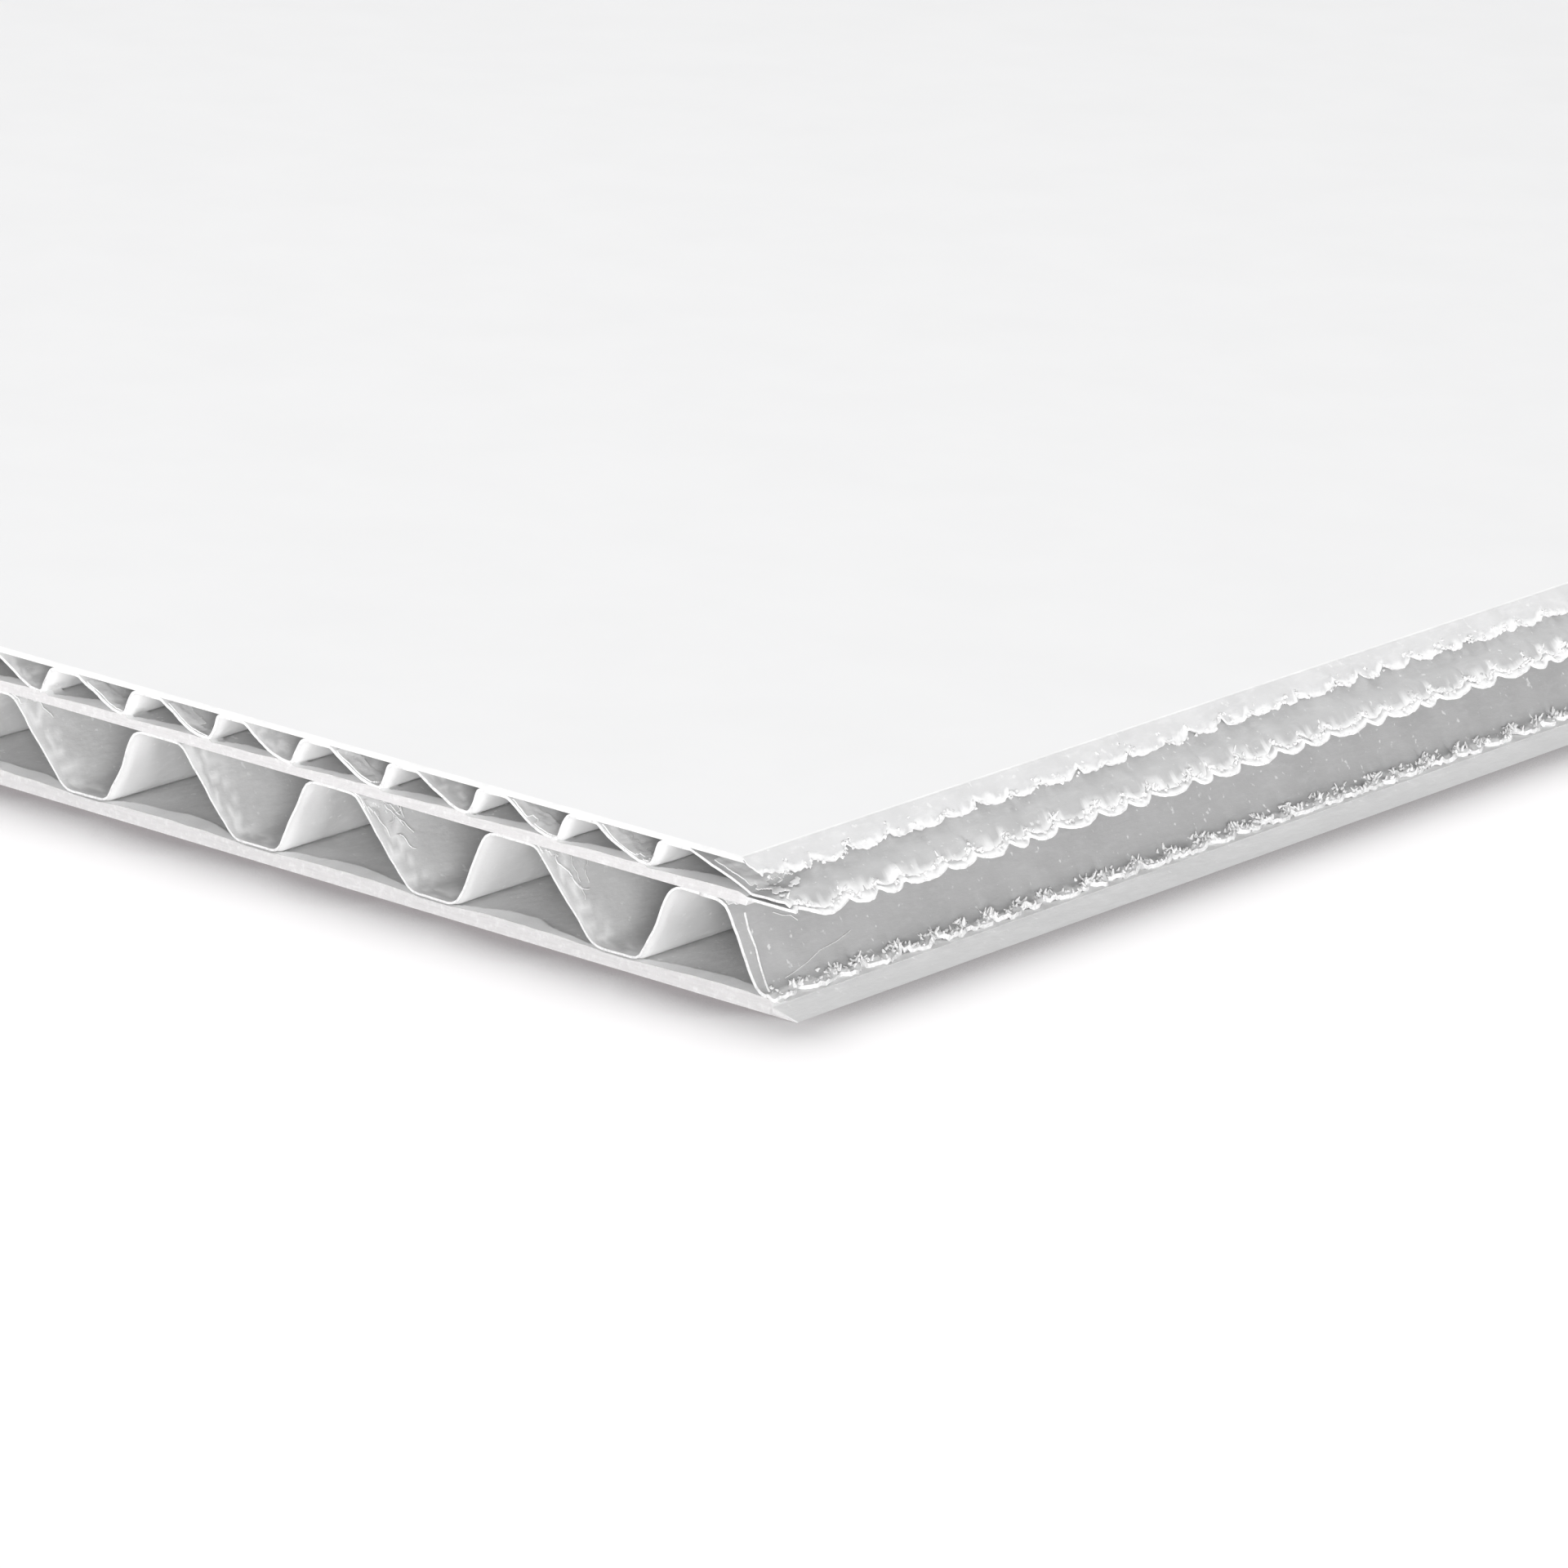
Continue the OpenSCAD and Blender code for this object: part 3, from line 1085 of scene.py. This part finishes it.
class BOARD_OT_loose_fibres(bpy.types.Operator):
    """The fibres that stand from the torn edges and lie on the waved papers"""
    bl_idname = "board.loose_fibres"
    bl_label = "Loose fibres"

    def execute(self, context):
        look = papers()
        draw = random.Random(5)
        sizes = context.scene.board_torn
        curve = bpy.data.curves.new("loose_fibres", "CURVE")
        curve.dimensions = "3D"
        curve.bevel_depth = 1.0 * MM
        curve.bevel_resolution = 0
        for tear, home, per_cusp, rise in (
                ("coarse", self.coarse_home, 30, 0.30), ("fine", self.fine_home, 14, 0.24),
                ("skirt", self.skirt_home, 8, 0.16)):
            self.tufts(curve, draw, tear, home, per_cusp, rise)
        self.corner_fibres(curve, draw)
        holder = bpy.data.objects.new("loose_fibres_route", curve)
        context.scene.collection.objects.link(holder)
        view = context.evaluated_depsgraph_get()
        mesh = bpy.data.meshes.new_from_object(holder.evaluated_get(view))
        bpy.data.objects.remove(holder)
        bm = bmesh.new()
        bm.from_mesh(mesh)
        bpy.data.meshes.remove(mesh)
        make_piece("loose_fibres", bm, [look["torn_paper"]])
        return {"FINISHED"}

    def coarse_home(self, back, lobe, draw):
        """A place on the coarse paper's torn foot or low on its slope, and the way out of it."""
        foot = right_end("lower_flute") / MM
        if draw.random() < 0.2:
            return slope_point(COARSE, draw.uniform(0.86, 1.0), back, 0.02), Vector((0.4, 0, 0.9))
        x = foot + 0.14 - 0.34 * (1 - lobe) - 0.3 * draw.random() ** 2
        return Vector((x * MM, FRONT_Y + back * MM, (COARSE["bottom"] + 0.01) * MM)), Vector((-0.3, 0, 1))

    def fine_home(self, back, lobe, draw):
        sizes = bpy.context.scene.board_torn
        end = right_end("middle_liner") / MM
        down = droop_at(Vector((0, back, 0)), sizes.droop / MM, lobe)
        inward = 0.04 + 0.22 * draw.random() ** 2
        z = FINE["bottom"] - 0.08 - down * (1 - blend_over(inward, 0.0, 0.9))
        x = end + 0.02 - sizes.bite / MM * (1 - lobe) - inward
        return Vector((x * MM, FRONT_Y + back * MM, z * MM)), Vector((0.2, 0, 1))

    def skirt_home(self, back, lobe, draw):
        corner = right_end("top_liner") / MM
        share = 1 - 0.6 * draw.random() ** 2 - 0.35 * (1 - lobe)
        under = height("top_liner")[0] / MM
        drop = bpy.context.scene.board_torn.skirt_drop / MM
        spot = Vector((corner + 0.55 * share + 0.02, FRONT_Y / MM + back, under - drop * share))
        return spot * MM, Vector((0.7, 0, 0.2))

    def tufts(self, curve, draw, tear, home, per_cusp, rise):
        """Short fibres along a torn line, thickest at its cusps."""
        pitch = bpy.context.scene.board_torn.tooth / MM
        back = 0.1
        while back < LENGTH - 0.1:
            lobe, size = tooth_marks(back, pitch, *TEARS[tear])
            if draw.random() < 0.15 + 0.85 * (1 - lobe):
                start, way = home(back, lobe, draw)
                way += Vector((draw.uniform(-0.5, 0.5), draw.uniform(-0.8, 0.8), draw.uniform(-0.3, 0.3)))
                length = rise * draw.uniform(0.25, 1.0) * (1.2 - 0.7 * lobe)
                self.fibre(curve, draw, start, way, length, draw.uniform(0.04, 0.085))
            back += pitch / per_cusp * draw.uniform(0.15, 0.75) * (1 if back < 46 else 7)

    def corner_fibres(self, curve, draw):
        """The curled ply and the long hair that lie on the last coarse slope by the front corner."""
        ply = [(0.30, 0.50), (0.42, 0.42), (0.55, 0.44), (0.68, 0.36), (0.82, 0.32), (0.95, 0.20)]
        hair = [(0.83, 1.07), (0.80, 1.6), (0.77, 2.1), (0.72, 2.7), (0.70, 3.4), (0.66, 4.07)]
        wisp = [(0.36, 1.5), (0.40, 1.8), (0.42, 2.1), (0.47, 2.3)]
        for wave, shares, reach, count in ((2, (0.02, 0.5), 1.2, 12), (4, (0.0, 0.22), 0.6, 9),
                                           (1, (0.1, 0.6), 1.0, 6), (5, (0.1, 0.5), 1.2, 7)):
            for _ in range(count):
                self.strand(curve, draw, wave, shares, reach)
        for route, radius in ((ply, 0.035), (hair, 0.014), (wisp, 0.014)):
            spline = curve.splines.new("POLY")
            spline.points.add(len(route) - 1)
            for point, (share, back) in zip(spline.points, route):
                point.co = (*slope_point(COARSE, share, back, 0.015), 1)
                point.radius = radius

    def strand(self, curve, draw, wave, shares, reach):
        """A fibre that lies on a coarse wave's slope near the cut front, wandering over it."""
        share, back = draw.uniform(*shares), draw.uniform(0.05, reach)
        heading = draw.uniform(0, 2 * math.pi)
        spline = curve.splines.new("POLY")
        points = 7
        spline.points.add(points - 1)
        radius = draw.uniform(0.012, 0.026)
        for point in spline.points:
            share = min(max(share, 0.0), 0.95)
            point.co = (*slope_point(COARSE, share, max(back, 0.03), 0.06, wave), 1)
            point.radius = radius
            heading += draw.uniform(-0.9, 0.9)
            share += 0.035 * math.cos(heading)
            back += 0.11 * math.sin(heading)

    def fibre(self, curve, draw, start, heading, length, radius):
        """One curled fibre of a length and radius in mm."""
        points = 4
        spline = curve.splines.new("POLY")
        spline.points.add(points - 1)
        heading = heading.normalized()
        spot = start.copy()
        for number in range(points):
            spline.points[number].co = (*spot, 1)
            spline.points[number].radius = radius * (1 - 0.7 * number / (points - 1))
            bend = Vector((draw.uniform(-1, 1), draw.uniform(-1, 1), draw.uniform(-1, 1)))
            heading = (heading + 0.5 * bend).normalized()
            spot += heading * length * MM / (points - 1)


class BOARD_OT_studio(bpy.types.Operator):
    """The floor with a shadow painted into its colour near the board, the lamps and the even light"""
    bl_idname = "board.studio"
    bl_label = "Studio"

    def execute(self, context):
        studio = context.scene.board_studio
        self.floor()
        world = bpy.data.worlds.new("studio")
        context.scene.world = world
        world.use_nodes = True
        tree = world.node_tree
        background = tree.nodes["Background"]
        background.inputs["Color"].default_value = (1, 1, 1, 1)
        background.inputs["Strength"].default_value = studio.ambient
        self.lamp("key", azimuth=-130, elevation=51, spread=36, level=studio.key)
        self.lamp("fill", azimuth=42, elevation=8, spread=24, level=studio.fill)
        return {"FINISHED"}

    def floor(self):
        bm = bmesh.new()
        bmesh.ops.create_grid(bm, x_segments=2, y_segments=2, size=3.0)
        mesh = bpy.data.meshes.new("floor")
        bm.to_mesh(mesh)
        bm.free()
        floor = bpy.data.objects.new("floor", mesh)
        bpy.context.scene.collection.objects.link(floor)
        material = bpy.data.materials.new("studio_floor")
        material.use_nodes = True
        tree = material.node_tree
        tree.nodes.clear()
        diffuse = tree.nodes.new("ShaderNodeBsdfDiffuse")
        glow = tree.nodes.new("ShaderNodeEmission")
        glow.inputs["Color"].default_value = (1, 1, 1, 1)
        rays = tree.nodes.new("ShaderNodeLightPath")
        strength = tree.nodes.new("ShaderNodeMath")
        strength.operation = "MULTIPLY"
        node_link(tree, rays.outputs["Is Camera Ray"], strength.inputs[0])
        node_link(tree, strength.outputs["Value"], glow.inputs["Strength"])
        both = tree.nodes.new("ShaderNodeAddShader")
        node_link(tree, diffuse.outputs["BSDF"], both.inputs[0])
        node_link(tree, glow.outputs["Emission"], both.inputs[1])
        output = tree.nodes.new("ShaderNodeOutputMaterial")
        node_link(tree, both.outputs["Shader"], output.inputs["Surface"])
        # Painted shadow: seen by the camera, the floor darkens to a mauve grey where the ambient occlusion
        # within 3.8 mm finds the board near.
        painted_shadow_occlusion = tree.nodes.new("ShaderNodeAmbientOcclusion")
        painted_shadow_occlusion.inputs["Distance"].default_value = 3.8 * MM
        painted_shadow_occlusion.samples = 8
        near = ramp(tree, painted_shadow_occlusion.outputs["AO"], 0.47, 0.86)
        shade = mixed(tree, near, (0.43, 0.395, 0.408), (1.0, 0.985, 0.99))
        node_link(tree, mixed(tree, rays.outputs["Is Camera Ray"], (1.0, 0.985, 0.99), shade),
                  diffuse.inputs["Color"])
        # The camera-only glow that whitens the open floor fades near the board, deepening the painted shadow.
        node_link(tree, ramp(tree, painted_shadow_occlusion.outputs["AO"], 0.6, 1.0, 0.0, 0.06), strength.inputs[1])
        mesh.materials.append(material)

    def lamp(self, name, azimuth, elevation, spread, level):
        """A soft, far lamp. A level of 1 shows a white face turned to it as white."""
        light = bpy.data.lights.new(name, "SUN")
        light.angle = math.radians(spread)
        light.energy = level * math.pi
        lamp = bpy.data.objects.new(name, light)
        bpy.context.scene.collection.objects.link(lamp)
        turn, rise = math.radians(azimuth), math.radians(elevation)
        towards = Vector((math.sin(turn) * math.cos(rise), -math.cos(turn) * math.cos(rise),
                          math.sin(rise)))
        lamp.location = towards
        lamp.rotation_euler = (-towards).to_track_quat("-Z", "Y").to_euler()


class BOARD_PT_panel(bpy.types.Panel):
    """Lists the steps that dress the board"""
    bl_idname = "BOARD_PT_panel"
    bl_label = "Mounting board"
    bl_space_type = "VIEW_3D"
    bl_region_type = "UI"
    bl_category = "Board"

    def draw(self, context):
        for step in STEPS:
            self.layout.operator(step.bl_idname)
        for group in GROUPS:
            box = self.layout.box()
            settings = getattr(context.scene, group)
            for name in settings.bl_rna.properties.keys():
                if name not in ("rna_type", "name"):
                    box.prop(settings, name)


STEPS = [
    BOARD_OT_camera,
    BOARD_OT_top_liner,
    BOARD_OT_lower_liners,
    BOARD_OT_waves,
    BOARD_OT_torn_liners,
    BOARD_OT_torn_skins,
    BOARD_OT_loose_fibres,
    BOARD_OT_studio,
]
CLASSES = list(GROUPS.values()) + STEPS + [BOARD_PT_panel]


def register():
    for cls in CLASSES:
        bpy.utils.register_class(cls)
    for name, group in GROUPS.items():
        setattr(bpy.types.Scene, name, PointerProperty(type=group))


def unregister():
    for name in GROUPS:
        delattr(bpy.types.Scene, name)
    for cls in reversed(CLASSES):
        bpy.utils.unregister_class(cls)


def main():
    register()
    bpy.context.scene.view_settings.view_transform = "Standard"
    bpy.ops.board.camera()
    bpy.ops.board.top_liner()
    bpy.ops.board.lower_liners()
    bpy.ops.board.waves()
    bpy.ops.board.torn_liners()
    bpy.ops.board.torn_skins()
    bpy.ops.board.loose_fibres()
    bpy.ops.board.studio()


if __name__ == "__main__":
    main()
